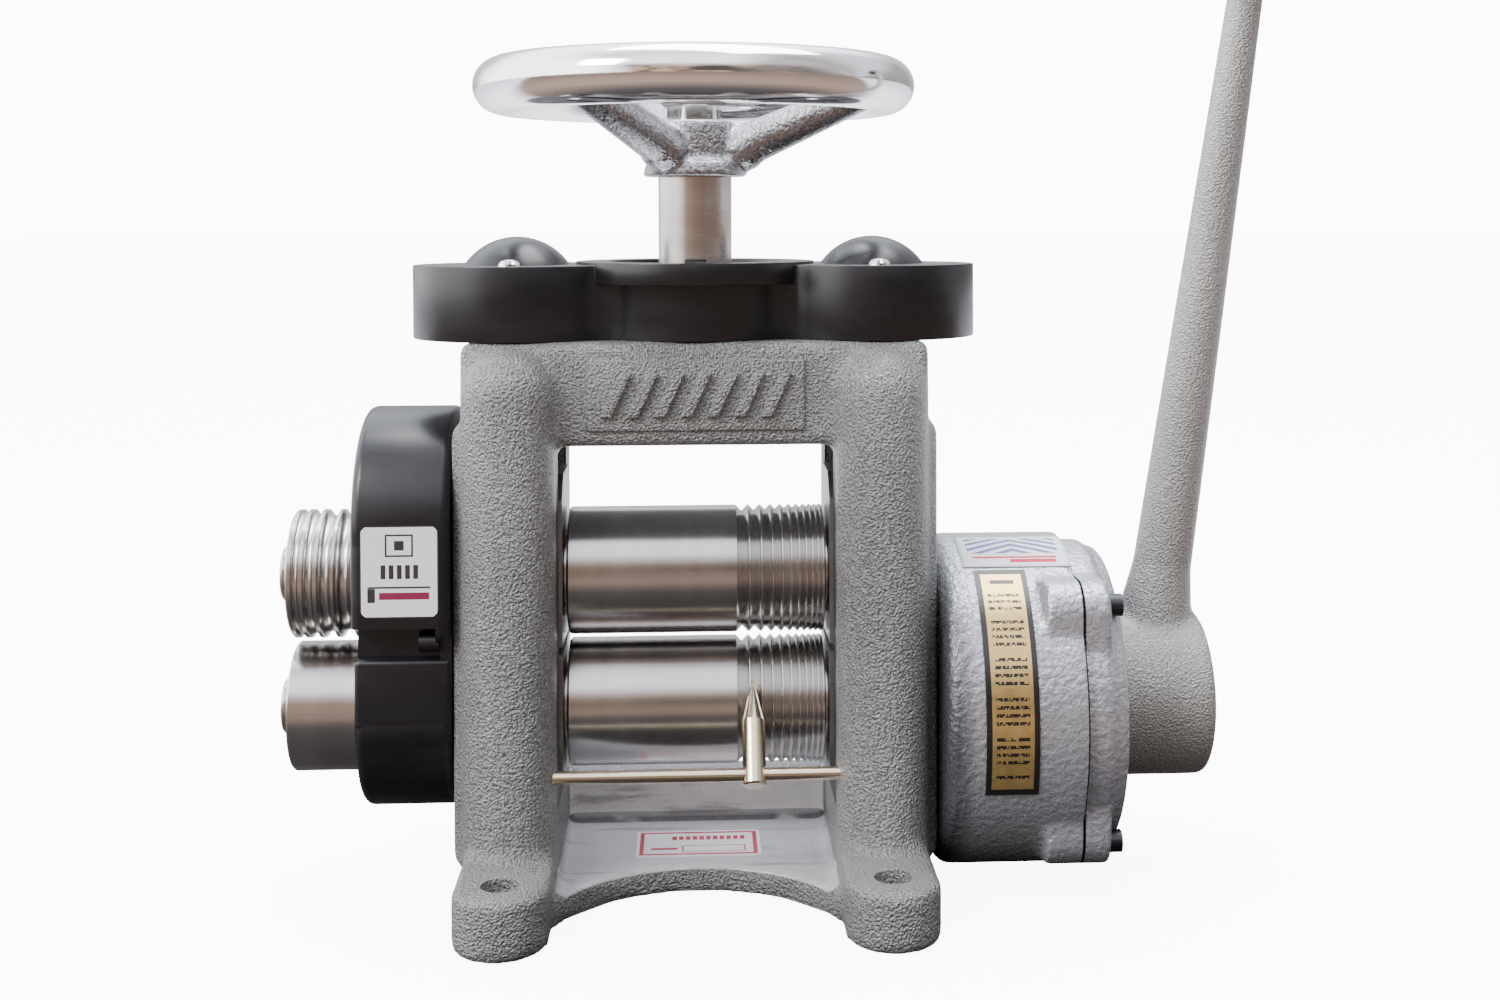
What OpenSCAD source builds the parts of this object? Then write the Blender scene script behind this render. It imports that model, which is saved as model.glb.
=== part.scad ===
// Bench rolling mill with combination rolls, a 5:1 geared crank, geared
// roll adjustment under a three-lobed cover, extension rolls and a wire guide.
// Origin: centre of the four bench bolt holes, on the bench surface.
// +X is the crank side, -Y is the operator's side, +Z is up.

/* [Rolls] */
// Working length of the rolls
roll_length = 100; // [80:1:130]
// Diameter of the rolls
roll_diameter = 50; // [42:1:60]
// Gap between the rolls at rest
roll_gap = 2.3; // [2:0.1:3]
// Height of the lower roll above the bench
lower_axis_z = 66.5; // [64:0.5:80]
// Length of the flat part of the rolls
flat_length = 65.5; // [40:0.5:80]
// Width of the widest wire groove
groove_width = 4.7; // [3:0.1:6]
// Number of wire grooves
groove_count = 10; // [4:1:12]
// Diameter of the roll journals
journal_diameter = 30; // [24:1:34]
// Length of each extension roll
extension_length = 27; // [15:1:40]
// Full travel of the upper roll, from closed to open
roll_travel = 4.9; // [3:0.1:6]

/* [Frame] */
// Height of the cast frame
frame_height = 211.7; // [200:0.1:240]
// Width of each side frame, seen from the front
column_width = 35.2; // [30:0.2:42]
// Distance from the mill's centre plane to the column centres
column_y = 40; // [34:1:50]
// Height of the bridge across the top of the frame
bridge_height = 39.2; // [30:0.1:50]
// Thickness of the pads on the outer sides
pad_depth = 4; // [2:0.5:8]
// Width of each bearing window
window_width = 46; // [44:1:52]
// Thickness of the base floor
floor_thickness = 10; // [6:1:16]
// Height of the feet
foot_height = 22; // [14:1:30]
// Depth spacing of the bench bolt holes
bolt_spacing_y = 159.4; // [150:0.1:190]
// Diameter of the bench bolt holes
bolt_hole = 14; // [8:1:15]

/* [Roll adjustment] */
// Diameter of the handwheel
wheel_diameter = 174; // [120:1:200]
// Thickness of the handwheel rim
wheel_rim = 22; // [14:1:26]
// Height of the middle of the handwheel rim above the bench
wheel_z = 310; // [290:1:330]
// Diameter of the adjusting shaft above the cover
shaft_diameter = 29; // [24:1:32]
// Diameter of the adjusting screws
screw_diameter = 20; // [14:1:22]
// Teeth on each adjusting gear
adjust_teeth = 35; // [21:2:51]
// Height of the gear cover
cover_height = 28.5; // [26:0.5:36]

/* [Crank and gearbox] */
// Radius of the round gearbox body
gearbox_radius = 64.5; // [62:0.5:72]
// Length of the gearbox housing
gearbox_length = 52.8; // [46:0.2:70]
// Half width of the square gearbox flange
flange_half = 54; // [50:0.5:62]
// Length of the crank arm from the hub to the grip
crank_length = 300; // [200:5:400]
// Outward lean of the crank arm in degrees
crank_lean = 8.3; // [0:0.1:15]
// Radius of the crank hub
hub_radius = 32.5; // [24:0.5:36]
// Length of the crank grip
grip_length = 92; // [70:1:120]

/* [Wire guide] */
// Distance of the guide bar in front of the rolls' centre plane
guide_y = 44; // [44:0.5:52]
// Height of the guide bar
guide_z = 49; // [48:0.5:60]
// Diameter of the guide bar
guide_bar_diameter = 5; // [4:0.5:6]
// Diameter of the guide pin
guide_pin_diameter = 9; // [8:0.5:12]
// Length of the guide pin
guide_pin_length = 41; // [30:0.5:42]
// Position of the guide pin along the bar
guide_pin_x = 21.5; // [-40:0.5:45]
// Tilt of the guide pin above the horizontal
guide_tilt = 55; // [50:1:90]

/* [Hidden] */
$fn = 64;
fit = 0.05;
roll_r = roll_diameter / 2;
journal_r = journal_diameter / 2;
upper_axis_z = lower_axis_z + roll_diameter + roll_gap;
inner_x = roll_length / 2 + 2.6;
column_x = inner_x + column_width / 2;
column_r = column_width / 2;
wall_in = inner_x + 0.4;
wall_out = inner_x + column_width - 0.4;
pad_x = inner_x + column_width + pad_depth;
slab_half_x = inner_x + column_width + 0.9;
slab_half_y = column_y + 2;
bridge_z = frame_height - bridge_height;
window_low = lower_axis_z - roll_r - 1.5;
window_high = bridge_z - 4.5;
dome_z = frame_height - 1.7 - column_r;
foot_r = 17.2;
arc_in_y = 31;
arc_out_y = 68;
arc_r = (pow(inner_x, 2) + pow(arc_out_y - arc_in_y, 2)) / (2 * (arc_out_y - arc_in_y));

block_half_y = window_width / 2 - 0.1;
block_in = roll_length / 2 + 1.5;
lower_block_top = lower_axis_z + roll_r - 1.3;
upper_block_low = lower_block_top + roll_gap + 0.7;
upper_block_top = upper_axis_z + 40.2;
bush_r = journal_r + 3;
spring_y = 18;
spring_low = lower_axis_z + 14.5;
spring_high = upper_axis_z - 14.5;
pocket_r = 3.6;

gear_teeth = 13;
gear_module = (roll_diameter + 0.1) / gear_teeth;
gear_tip_r = (roll_diameter + 0.1) / 2 + 0.98 * gear_module + 0.17;
gear_root_r = roll_diameter + 0.1 - gear_tip_r - 0.5;
gear_x = pad_x + 6;
gear_width = 22;
neck_r = journal_r - 1;
guard_out = pad_x + 36.6;
casing_r = gear_tip_r + 4.3;
cavity_r = gear_tip_r + 2.3;
guard_low_r = casing_r + 5;
guard_high_r = casing_r + 11.7;
guard_high_z = upper_axis_z + 20.7;
notch_low = lower_block_top + 6.4;
notch_high = notch_low + 9.4;
guard_bolt_z = notch_low + 2.9;
guard_bolt_y = casing_r + 3.7;
extension_x = guard_out + 1.4;
stub_r = 11;

screw_r = screw_diameter / 2;
nut_r = screw_r + 4;
adjust_module = column_x * 2 / (2 * adjust_teeth);
adjust_tip_r = adjust_teeth * adjust_module / 2 + adjust_module;
lobe_r = adjust_tip_r + 3.4;
lobe_in_r = adjust_tip_r + 1;
cover_top = frame_height + cover_height;
cover_roof = cover_top - 3.5;
collar_r = lobe_r + 6.6;
opening_r = collar_r - 13;
dome_base_r = 20.6;
dome_height = 11;
dome_sphere_r = (pow(dome_base_r, 2) + pow(dome_height, 2)) / (2 * dome_height);
shaft_r = shaft_diameter / 2;
hub_low = wheel_z - 35.6;
hub_high = wheel_z - 13.3;
wheel_path_r = (wheel_diameter - wheel_rim) / 2;

planet_teeth = 27;
sun_teeth = 18;
ring_teeth = 72;
train_module = 1.5;
planet_orbit = (planet_teeth + sun_teeth) * train_module / 2;
pin_r = 6;
carrier_x = pad_x + 12;
train_x = carrier_x + 11;
train_width = 12;
housing_end = pad_x + gearbox_length;
flange_x = housing_end - 14;
cover_flange_end = housing_end + 11;
cover_end = housing_end + 17;
housing_bore_r = gearbox_radius - 4;
corner_r = 12;
screw_offset = flange_half - 9;
cover_disc_r = min(gearbox_radius - 5.5, sqrt(2) * screw_offset - 4.6);
crank_shaft_r = 11;
hub_in = cover_end + 2;
hub_out = hub_in + 38.5;
screw_seat = hub_out - 8.4;
washer_r = 15;
arm_root_x = hub_in + 16.6;
arm_tip_x = arm_root_x + crank_length * sin(crank_lean);
arm_tip_z = lower_axis_z + crank_length * cos(crank_lean);
grip_x = arm_tip_x + 12.4;

bar_r = guide_bar_diameter / 2;
sleeve_r = bar_r + 0.8;
guide_r = guide_pin_diameter / 2;
guide_tail = 4.4;

cast_silver = [0.72, 0.73, 0.75];
box_silver = [0.66, 0.68, 0.73];
crank_silver = [0.70, 0.70, 0.68];
black_plastic = [0.07, 0.07, 0.08];
black_steel = [0.13, 0.13, 0.15];
ground_steel = [0.62, 0.61, 0.60];
chrome = [0.85, 0.85, 0.86];
bronze = [0.66, 0.48, 0.26];
zinc_yellow = [0.74, 0.68, 0.44];
gear_steel = [0.45, 0.45, 0.47];
label_white = [0.92, 0.93, 0.94];
plate_gold = [0.78, 0.62, 0.30];

// ---- helpers ----

// Turns a shape drawn along +Z so that it runs along +X from x at height z;
// its own +X then points up.
module along_x(x, z) {
  translate([x, 0, z]) rotate([0, 90, 0]) rotate([0, 0, 180]) children();
}

module rod_x(x0, x1, r, z, y = 0) {
  translate([x0, y, z]) rotate([0, 90, 0]) cylinder(r = r, h = x1 - x0);
}

module tube(r_out, r_in, h) {
  difference() {
    cylinder(r = r_out, h = h);
    translate([0, 0, -1]) cylinder(r = r_in, h = h + 2);
  }
}

module block(x0, x1, y0, y1, z0, z1) {
  translate([x0, y0, z0]) cube([x1 - x0, y1 - y0, z1 - z0]);
}

function arc_points(cx, cy, r, a0, a1, n) =
  [for (i = [0 : n]) [cx + r * cos(a0 + (a1 - a0) * i / n), cy + r * sin(a0 + (a1 - a0) * i / n)]];

function rounded_rect(hx, hy, r) = concat(
  arc_points(hx - r, hy - r, r, 0, 90, 8),
  arc_points(r - hx, hy - r, r, 90, 180, 8),
  arc_points(r - hx, r - hy, r, 180, 270, 8),
  arc_points(hx - r, r - hy, r, 270, 360, 8));

// Involute gear outline. A tooth is centred on the local +X axis.
function involute(a) = tan(a) * 180 / PI - a;

function tooth_half(r, pitch_r, base_r, half, pressure) =
  half + involute(pressure) - (r > base_r ? involute(acos(base_r / r)) : 0);

function gear_points(teeth, m, pressure, tip_r, root_r, backlash, steps) =
  let (pitch_r = teeth * m / 2,
       base_r = pitch_r * cos(pressure),
       half = (PI * m / 2 - backlash) / 2 / pitch_r * 180 / PI,
       start_r = max(base_r, root_r))
  [for (t = [0 : teeth - 1], i = [0 : 2 * steps + 3])
    let (side = i <= steps + 1 ? -1 : 1,
         k = i <= steps + 1 ? i : 2 * steps + 3 - i,
         r = k == 0 ? root_r : start_r + (tip_r - start_r) * (k - 1) / steps,
         w = k == 0 ? tooth_half(start_r, pitch_r, base_r, half, pressure) + 0.4 :
             tooth_half(r, pitch_r, base_r, half, pressure),
         a = t * 360 / teeth + side * w)
    [r * cos(a), r * sin(a)]];

module spur_gear(teeth, m, pressure, tip_r, root_r, backlash, width, bore_r, steps = 4) {
  difference() {
    linear_extrude(height = width)
      polygon(gear_points(teeth, m, pressure, tip_r, root_r, backlash, steps));
    translate([0, 0, -1]) cylinder(r = bore_r, h = width + 2);
  }
}

// ---- frame ----

module side_frame(side) {
  mirror([side < 0 ? 1 : 0, 0, 0]) {
    block(wall_in, wall_out, -column_y, column_y, 0, frame_height - 1);
    for (s = [-1, 1]) {
      translate([column_x, s * column_y, 0]) cylinder(r = column_r, h = dome_z);
      translate([column_x, s * column_y, dome_z]) sphere(r = column_r);
      foot(s);
    }
    side_pad();
  }
}

module foot(s) {
  foot_y = bolt_spacing_y / 2;
  translate([column_x - 0.2, s * foot_y, 0]) cylinder(r = foot_r, h = foot_height);
  block(column_x - foot_r, column_x + foot_r - 0.4,
        s > 0 ? column_y : -foot_y, s > 0 ? foot_y : -column_y, 0, foot_height);
}

module side_pad() {
  translate([wall_out - 1, 0, (12 + window_high + 14) / 2])
    rotate([0, 90, 0])
    linear_extrude(height = pad_x - wall_out + 1)
    polygon(rounded_rect((window_high + 14 - 12) / 2, column_y, 10));
}

module base_floor() {
  difference() {
    block(-wall_in - 1, wall_in + 1, -arc_out_y, arc_out_y, 0, floor_thickness);
    for (s = [-1, 1])
      translate([0, s * (arc_in_y + arc_r), -1])
        cylinder(r = arc_r, h = floor_thickness + 2);
  }
  block(-wall_in - 1, wall_in + 1, 27, slab_half_y, 0, 30);
}

module bridge() {
  translate([0, 0, bridge_z])
    linear_extrude(height = bridge_height)
    polygon(rounded_rect(slab_half_x, slab_half_y, 5));
}

// Raised cast panel on the bridge front: a plain ribbed cartouche
module bridge_relief() {
  translate([0, -slab_half_y + 0.2, bridge_z + bridge_height / 2])
    rotate([90, 0, 0]) {
      linear_extrude(height = 1.4) polygon(rounded_rect(40, 10, 9.5));
      for (i = [-3 : 3])
        translate([i * 9.6, 0, 1.2])
          linear_extrude(height = 1.2) polygon([[-3.4, -5.5], [0.4, -5.5], [3.4, 5.5], [-0.4, 5.5]]);
    }
}

module frame_casting() {
  color(cast_silver)
  difference() {
    union() {
      side_frame(1);
      side_frame(-1);
      base_floor();
      bridge();
      bridge_relief();
    }
    for (s = [-1, 1]) {
      block(s > 0 ? inner_x - 2 : -pad_x - 1, s > 0 ? pad_x + 1 : -inner_x + 2,
            -window_width / 2, window_width / 2, window_low, window_high);
      translate([s * column_x, 0, window_high - 1])
        cylinder(r = nut_r, h = frame_height - window_high + 2);
      for (t = [-1, 1])
        translate([s * 70, t * bolt_spacing_y / 2, -1])
          cylinder(r = bolt_hole / 2, h = foot_height + 2);
      rod_x(s > 0 ? inner_x - 1 : -inner_x - 9, s > 0 ? inner_x + 9 : -inner_x + 1,
            bar_r, guide_z, -guide_y);
    }
    translate([0, 0, bridge_z - 1]) cylinder(r = 13, h = bridge_height + 2);
  }
}

// ---- bearings ----

module spring_pockets(z0, z1) {
  for (t = [-1, 1])
    translate([column_x, t * spring_y, z0]) cylinder(r = pocket_r, h = z1 - z0);
}

module lower_block() {
  color(gear_steel)
  difference() {
    block(block_in, pad_x, -block_half_y, block_half_y, window_low, lower_block_top);
    rod_x(block_in - 1, pad_x + 1, bush_r, lower_axis_z);
    spring_pockets(spring_low, lower_block_top + 1);
  }
}

module left_lower_block() { mirror([1, 0, 0]) lower_block(); }

module right_lower_block() { lower_block(); }

module upper_block() {
  chamfer = 9;
  color(gear_steel)
  difference() {
    block(block_in, pad_x, -block_half_y, block_half_y, upper_block_low, upper_block_top);
    rod_x(block_in - 1, pad_x + 1, bush_r, upper_axis_z);
    spring_pockets(upper_block_low - 1, spring_high);
    for (t = [-1, 1])
      translate([column_x, t * block_half_y, upper_block_top])
        rotate([45, 0, 0]) cube([60, chamfer * 1.414, chamfer * 1.414], center = true);
  }
}

module left_upper_block() { mirror([1, 0, 0]) upper_block(); }

module right_upper_block() { upper_block(); }

module roll_bush(x0, z) {
  color(bronze) along_x(x0, z) tube(bush_r, journal_r + fit, pad_x - block_in);
}

module left_lower_bush() { roll_bush(-pad_x, lower_axis_z); }

module right_lower_bush() { roll_bush(block_in, lower_axis_z); }

module left_upper_bush() { roll_bush(-pad_x, upper_axis_z); }

module right_upper_bush() { roll_bush(block_in, upper_axis_z); }

// Each return spring stands in the block pockets, as a stack of coils
module return_springs(side) {
  coils = 7;
  gap = 0.3;
  height = spring_high - spring_low - 2 * gap;
  color(gear_steel)
  for (t = [-1, 1])
    translate([side * column_x, t * spring_y, spring_low + gap]) {
      tube(2.6, 1.9, height);
      for (i = [0 : coils])
        translate([0, 0, i * (height - 1.2) / coils]) tube(3.2, 1.9, 1.2);
    }
}

module left_return_springs() { return_springs(-1); }

module right_return_springs() { return_springs(1); }

// ---- rolls ----

// Width of each wire groove, narrowing away from the flat part
function groove_w(i) = groove_width - 3.3 * i / (groove_count - 1) - 0.25 * sin(180 * i / (groove_count - 1));
function groove_start(i) = i == 0 ? flat_length - roll_length / 2 + 0.2 :
  groove_start(i - 1) + groove_w(i - 1) + 0.45;

roll_profile = concat(
  [[-roll_length / 2, journal_r + 3], [-roll_length / 2, roll_r - 0.8],
   [-roll_length / 2 + 0.8, roll_r]],
  [for (i = [0 : groove_count - 1], k = [0 : 2])
    [groove_start(i) + k * groove_w(i) / 2, roll_r - (k == 1 ? groove_w(i) / 2 : 0)]],
  [[roll_length / 2 - 0.5, roll_r], [roll_length / 2, roll_r - 0.5],
   [roll_length / 2, journal_r + 3]]);

// The roll with its journals, turned from one bar; right_end is the far end
module roll(z, right_end) {
  points = concat(
    [[-extension_x - extension_length - 5, 0], [-extension_x - extension_length - 5, stub_r - 1],
     [-extension_x - extension_length - 4, stub_r], [-extension_x, stub_r],
     [-extension_x, neck_r], [-pad_x - 0.3, neck_r], [-pad_x - 0.3, journal_r],
     [-block_in + 0.4, journal_r], [-block_in + 0.4, journal_r + 3]],
    roll_profile,
    [[block_in - 0.4, journal_r + 3], [block_in - 0.4, journal_r],
     [right_end - 1, journal_r], [right_end, journal_r - 1], [right_end, 0]]);
  color(ground_steel)
  along_x(0, z) rotate_extrude() polygon([for (p = points) [p[1], p[0]]]);
}

module upper_roll() { roll(upper_axis_z, pad_x - 0.5); }

module lower_roll() { roll(lower_axis_z, carrier_x + 8); }

module roll_gear(z) {
  color(gear_steel)
  along_x(-gear_x - gear_width, z)
    spur_gear(gear_teeth, gear_module, 27, gear_tip_r, gear_root_r, 0.3, gear_width, neck_r);
}

module upper_roll_gear() { roll_gear(upper_axis_z); }

module lower_roll_gear() { roll_gear(lower_axis_z); }

// Half-round wire grooves, largest nearest the frame
extension_grooves = [[3.6, 1.5], [8.6, 2.0], [14.6, 2.6], [21.6, 3.2]];

module upper_extension_roll() {
  color(ground_steel)
  difference() {
    along_x(-extension_x - extension_length, upper_axis_z)
      rotate_extrude() difference() {
        polygon([[stub_r, 0], [roll_r - 0.8, 0], [roll_r, 0.8], [roll_r, extension_length - 0.8],
                 [roll_r - 0.8, extension_length], [stub_r, extension_length]]);
        for (g = extension_grooves) translate([roll_r + 0.3, g[0] * extension_length / 27]) circle(r = g[1]);
      }
  }
}

module lower_extension_roll() {
  color(ground_steel)
  along_x(-extension_x - extension_length, lower_axis_z)
    rotate_extrude()
    polygon([[stub_r, 0], [roll_r - 0.8, 0], [roll_r, 0.8], [roll_r, extension_length - 0.8],
             [roll_r - 0.8, extension_length], [stub_r, extension_length]]);
}

// ---- roll gear guard ----

guard_outline = concat(
  arc_points(guard_high_z, 0, guard_high_r, -90, 90, 24),
  [[notch_high, guard_high_r], [notch_high - 0.01, casing_r]],
  arc_points(lower_axis_z, 0, guard_low_r,
             acos((notch_low - lower_axis_z) / guard_low_r),
             360 - acos((notch_low - lower_axis_z) / guard_low_r), 36),
  [[notch_high - 0.01, -casing_r], [notch_high, -guard_high_r]]);

module guard_body(x0, x1) {
  translate([-x1, 0, 0]) rotate([0, 90, 0]) rotate([0, 0, 180])
    linear_extrude(height = x1 - x0) children();
}

module gear_guard() {
  wall = 3;
  color(black_plastic)
  difference() {
    union() {
      guard_body(pad_x, guard_out) polygon(guard_outline);
      for (s = [-1, 1])
        block(-pad_x - 4.5, -pad_x, s > 0 ? casing_r - 4 : -guard_bolt_y - 0.2,
              s > 0 ? guard_bolt_y + 0.2 : -casing_r + 4, notch_low - 15, notch_high + 1);
    }
    rod_x(-guard_out + wall, -pad_x + 1, cavity_r, lower_axis_z);
    for (z = [upper_axis_z - 4, upper_axis_z + 4])
      rod_x(-guard_out + wall, -pad_x + 1, cavity_r, z);
    block(-guard_out + wall, -pad_x + 1, -cavity_r + 0.2, cavity_r - 0.2,
          upper_axis_z - 4, upper_axis_z + 4);
    rod_x(-guard_out - 1, -pad_x, neck_r + 1.2, lower_axis_z);
    for (z = [upper_axis_z - 3.2, upper_axis_z + 3.2])
      rod_x(-guard_out - 1, -pad_x, neck_r + 1.2, z);
    block(-guard_out - 1, -pad_x, -neck_r - 1, neck_r + 1, upper_axis_z - 3.2, upper_axis_z + 3.2);
  }
}

module guard_bolts() {
  color(black_steel)
  for (s = [-1, 1]) {
    rod_x(-pad_x - 12, -pad_x - 4.5, 4, guard_bolt_z, s * guard_bolt_y);
  }
}

module guard_label() {
  color(label_white)
  translate([-pad_x - 18.3, -guard_high_r, upper_axis_z + 8.6])
    rotate([90, 0, 0]) linear_extrude(height = 0.3) polygon(rounded_rect(14.5, 17.2, 4));
}

// ---- gearbox ----

module gearbox_housing() {
  color(box_silver)
  difference() {
    union() {
      rod_x(pad_x, housing_end, gearbox_radius, lower_axis_z);
      along_x(flange_x, lower_axis_z)
        linear_extrude(height = housing_end - flange_x)
        polygon(rounded_rect(flange_half, flange_half, corner_r));
    }
    rod_x(pad_x + 4, housing_end + 1, housing_bore_r, lower_axis_z);
    rod_x(pad_x - 1, pad_x + 5, journal_r + 5, lower_axis_z);
  }
}

module gearbox_cover() {
  color(box_silver)
  difference() {
    union() {
      along_x(housing_end, lower_axis_z)
        linear_extrude(height = cover_flange_end - housing_end)
        polygon(rounded_rect(flange_half, flange_half, corner_r));
      rod_x(cover_flange_end - 1, cover_end, cover_disc_r, lower_axis_z);
      rod_x(housing_end, cover_flange_end, gearbox_radius - 3, lower_axis_z);
    }
    rod_x(housing_end - 1, housing_end + 5, gearbox_radius - 12, lower_axis_z);
    rod_x(housing_end, cover_end + 1, crank_shaft_r + 4, lower_axis_z);
    for (a = [-1, 1], b = [-1, 1])
      rod_x(housing_end - 1, cover_flange_end + 1, 2.5, lower_axis_z + a * screw_offset,
            b * screw_offset);
  }
}

module gearbox_screws() {
  color(black_steel)
  for (a = [-1, 1], b = [-1, 1]) {
    rod_x(housing_end + 1, cover_flange_end, 2.5, lower_axis_z + a * screw_offset,
          b * screw_offset);
    difference() {
      rod_x(cover_flange_end, cover_flange_end + 5, 4.25, lower_axis_z + a * screw_offset,
            b * screw_offset);
      translate([cover_flange_end + 2.5, b * screw_offset, lower_axis_z + a * screw_offset])
        rotate([0, 90, 0]) cylinder(r = 2.3, h = 4, $fn = 6);
    }
  }
}

module ring_gear() {
  color(gear_steel)
  along_x(train_x - 2, lower_axis_z)
    difference() {
      cylinder(r = housing_bore_r, h = train_width + 4);
      translate([0, 0, -1]) linear_extrude(height = train_width + 6)
        polygon(gear_points(ring_teeth, train_module, 20,
                            ring_teeth * train_module / 2 + 1.25 * train_module,
                            ring_teeth * train_module / 2 - train_module, -0.2, 3));
    }
}

module crank_bush() {
  color(bronze) along_x(housing_end, lower_axis_z)
    tube(crank_shaft_r + 4, crank_shaft_r + fit, cover_end - housing_end);
}

module planet_carrier() {
  color(gear_steel)
  difference() {
    union() {
      rod_x(carrier_x, carrier_x + 8, planet_orbit + 13, lower_axis_z);
      rod_x(carrier_x - 5, carrier_x + 0.5, journal_r + 4, lower_axis_z);
    }
    rod_x(carrier_x - 6, carrier_x + 9, journal_r, lower_axis_z);
    for (a = [0, 120, 240])
      translate([0, -planet_orbit * sin(a), planet_orbit * cos(a)])
        rod_x(carrier_x - 1, carrier_x + 9, pin_r, lower_axis_z);
  }
}

module planet_pins() {
  color(gear_steel)
  for (a = [0, 120, 240])
    translate([0, -planet_orbit * sin(a), planet_orbit * cos(a)]) {
      rod_x(carrier_x, train_x + train_width + 1, pin_r, lower_axis_z);
      rod_x(train_x + train_width + 0.3, train_x + train_width + 2, pin_r + 2.5, lower_axis_z);
    }
}

module planet_gear(a) {
  color(gear_steel)
  translate([0, -planet_orbit * sin(a), planet_orbit * cos(a)])
    along_x(train_x, lower_axis_z)
    rotate([0, 0, a])
    spur_gear(planet_teeth, train_module, 20, planet_teeth * train_module / 2 + train_module,
              planet_teeth * train_module / 2 - 1.25 * train_module, 0.2, train_width, pin_r + fit, 3);
}

module planet_gear_1() { planet_gear(0); }

module planet_gear_2() { planet_gear(120); }

module planet_gear_3() { planet_gear(240); }

// Foil wrapped on the gearbox drum between two angles above the horizontal
module drum_foil(x, width, thickness, low, high) {
  far = 2 * gearbox_radius;
  steps = 6;
  along_x(x, lower_axis_z)
    linear_extrude(height = width)
    intersection() {
      difference() {
        circle(r = gearbox_radius + thickness);
        circle(r = gearbox_radius);
      }
      polygon(concat([[0, 0]], [for (i = [0:steps])
        let (a = low + (high - low) * i / steps) [far * sin(a), far * cos(a)]]));
    }
}

module instruction_plate() {
  color(plate_gold) drum_foil(flange_x - 24.4, 19.8, 0.4, -19.5, 60.2);
}

module top_decal() {
  color(label_white) drum_foil(pad_x + 10.5, housing_end - pad_x - 10.8, 0.3, 62, 84.5);
}

module serial_label() {
  color(label_white)
  translate([0.5, -5.5, floor_thickness])
    linear_extrude(height = 0.3) polygon(rounded_rect(24.5, 14.5, 2));
}

// ---- crank ----

module crank_arm() {
  color(crank_silver)
  difference() {
    union() {
      rod_x(hub_in, hub_out, hub_radius, lower_axis_z);
      translate([arm_root_x, 0, lower_axis_z]) rotate([0, crank_lean, 0]) {
        cylinder(r1 = 11.8, r2 = 6.2, h = crank_length);
        translate([0, 0, 20]) cylinder(r1 = 18, r2 = 11, h = 34);
      }
      rod_x(arm_tip_x - 12, arm_tip_x + 12, 11, arm_tip_z);
    }
    rod_x(hub_in - 1, hub_out, crank_shaft_r, lower_axis_z);
    rod_x(screw_seat, hub_out + 1, washer_r + 0.3, lower_axis_z);
    rod_x(arm_tip_x - 13, arm_tip_x + 13, 5, arm_tip_z);
  }
}

// The crank shaft carries the sun gear at its inner end
module crank_shaft() {
  color(ground_steel) {
    rod_x(train_x + train_width, screw_seat, crank_shaft_r, lower_axis_z);
    along_x(train_x, lower_axis_z)
      linear_extrude(height = train_width)
      polygon(gear_points(sun_teeth, train_module, 20, (sun_teeth / 2 + 1) * train_module,
                          (sun_teeth / 2 - 1.25) * train_module, 0.2, 3));
  }
}

module crank_screw() {
  color(black_steel)
  difference() {
    union() {
      rod_x(screw_seat, screw_seat + 2, washer_r, lower_axis_z);
      rod_x(screw_seat + 2, screw_seat + 8, 7.5, lower_axis_z);
    }
    translate([screw_seat + 4, 0, lower_axis_z]) rotate([0, 90, 0]) cylinder(r = 4.2, h = 6, $fn = 6);
  }
}

module grip_bolt() {
  color(black_steel) {
    rod_x(arm_tip_x - 12, grip_x + grip_length + 0.4, 5, arm_tip_z);
    rod_x(grip_x + grip_length + 0.4, grip_x + grip_length + 4.4, 8, arm_tip_z);
  }
}

module crank_grip() {
  length = grip_length;
  color(black_plastic)
  along_x(grip_x, arm_tip_z)
    rotate_extrude()
    polygon([[5 + fit, 0], [11, 0], [12.5, 1.5], [13.2, 14], [14, length * 0.45],
             [13.6, length * 0.8], [12, length - 3], [9.5, length], [5 + fit, length]]);
}

// ---- roll adjustment ----

module adjusting_shaft() {
  color(ground_steel)
  rotate_extrude()
    polygon([[0, bridge_z + 2], [10, bridge_z + 2], [10, frame_height + 1.3],
             [12, frame_height + 1.3], [12, frame_height + 21.3], [shaft_r, frame_height + 21.3],
             [shaft_r, hub_low], [9, hub_low], [9, hub_high], [5, hub_high],
             [5, hub_high + 6.5], [0, hub_high + 6.5]]);
}

module centre_gear() {
  color(gear_steel)
  translate([0, 0, frame_height + 1.3])
    spur_gear(adjust_teeth, adjust_module, 20, adjust_tip_r,
              adjust_teeth * adjust_module / 2 - 1.25 * adjust_module, 0.25, 20, 12, 3);
}

module dial_disc() {
  color(chrome)
  translate([0, 0, cover_top - 3.2]) tube(opening_r - 1.6, shaft_r, 2.4);
}

module shaft_bush() {
  color(bronze) {
    translate([0, 0, bridge_z]) tube(13, 10 + fit, bridge_height);
    translate([0, 0, frame_height]) tube(18, 10 + fit, 1);
  }
}

module leadscrew(s) {
  color(gear_steel)
  translate([s * column_x, 0, 0]) {
    translate([0, 0, upper_block_top]) cylinder(r = screw_r - 2, h = 4);
    translate([0, 0, upper_block_top + 3]) cylinder(r = screw_r, h = cover_top + 1.5 - upper_block_top - 3);
  }
}

module left_leadscrew() { leadscrew(-1); }

module right_leadscrew() { leadscrew(1); }

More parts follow.
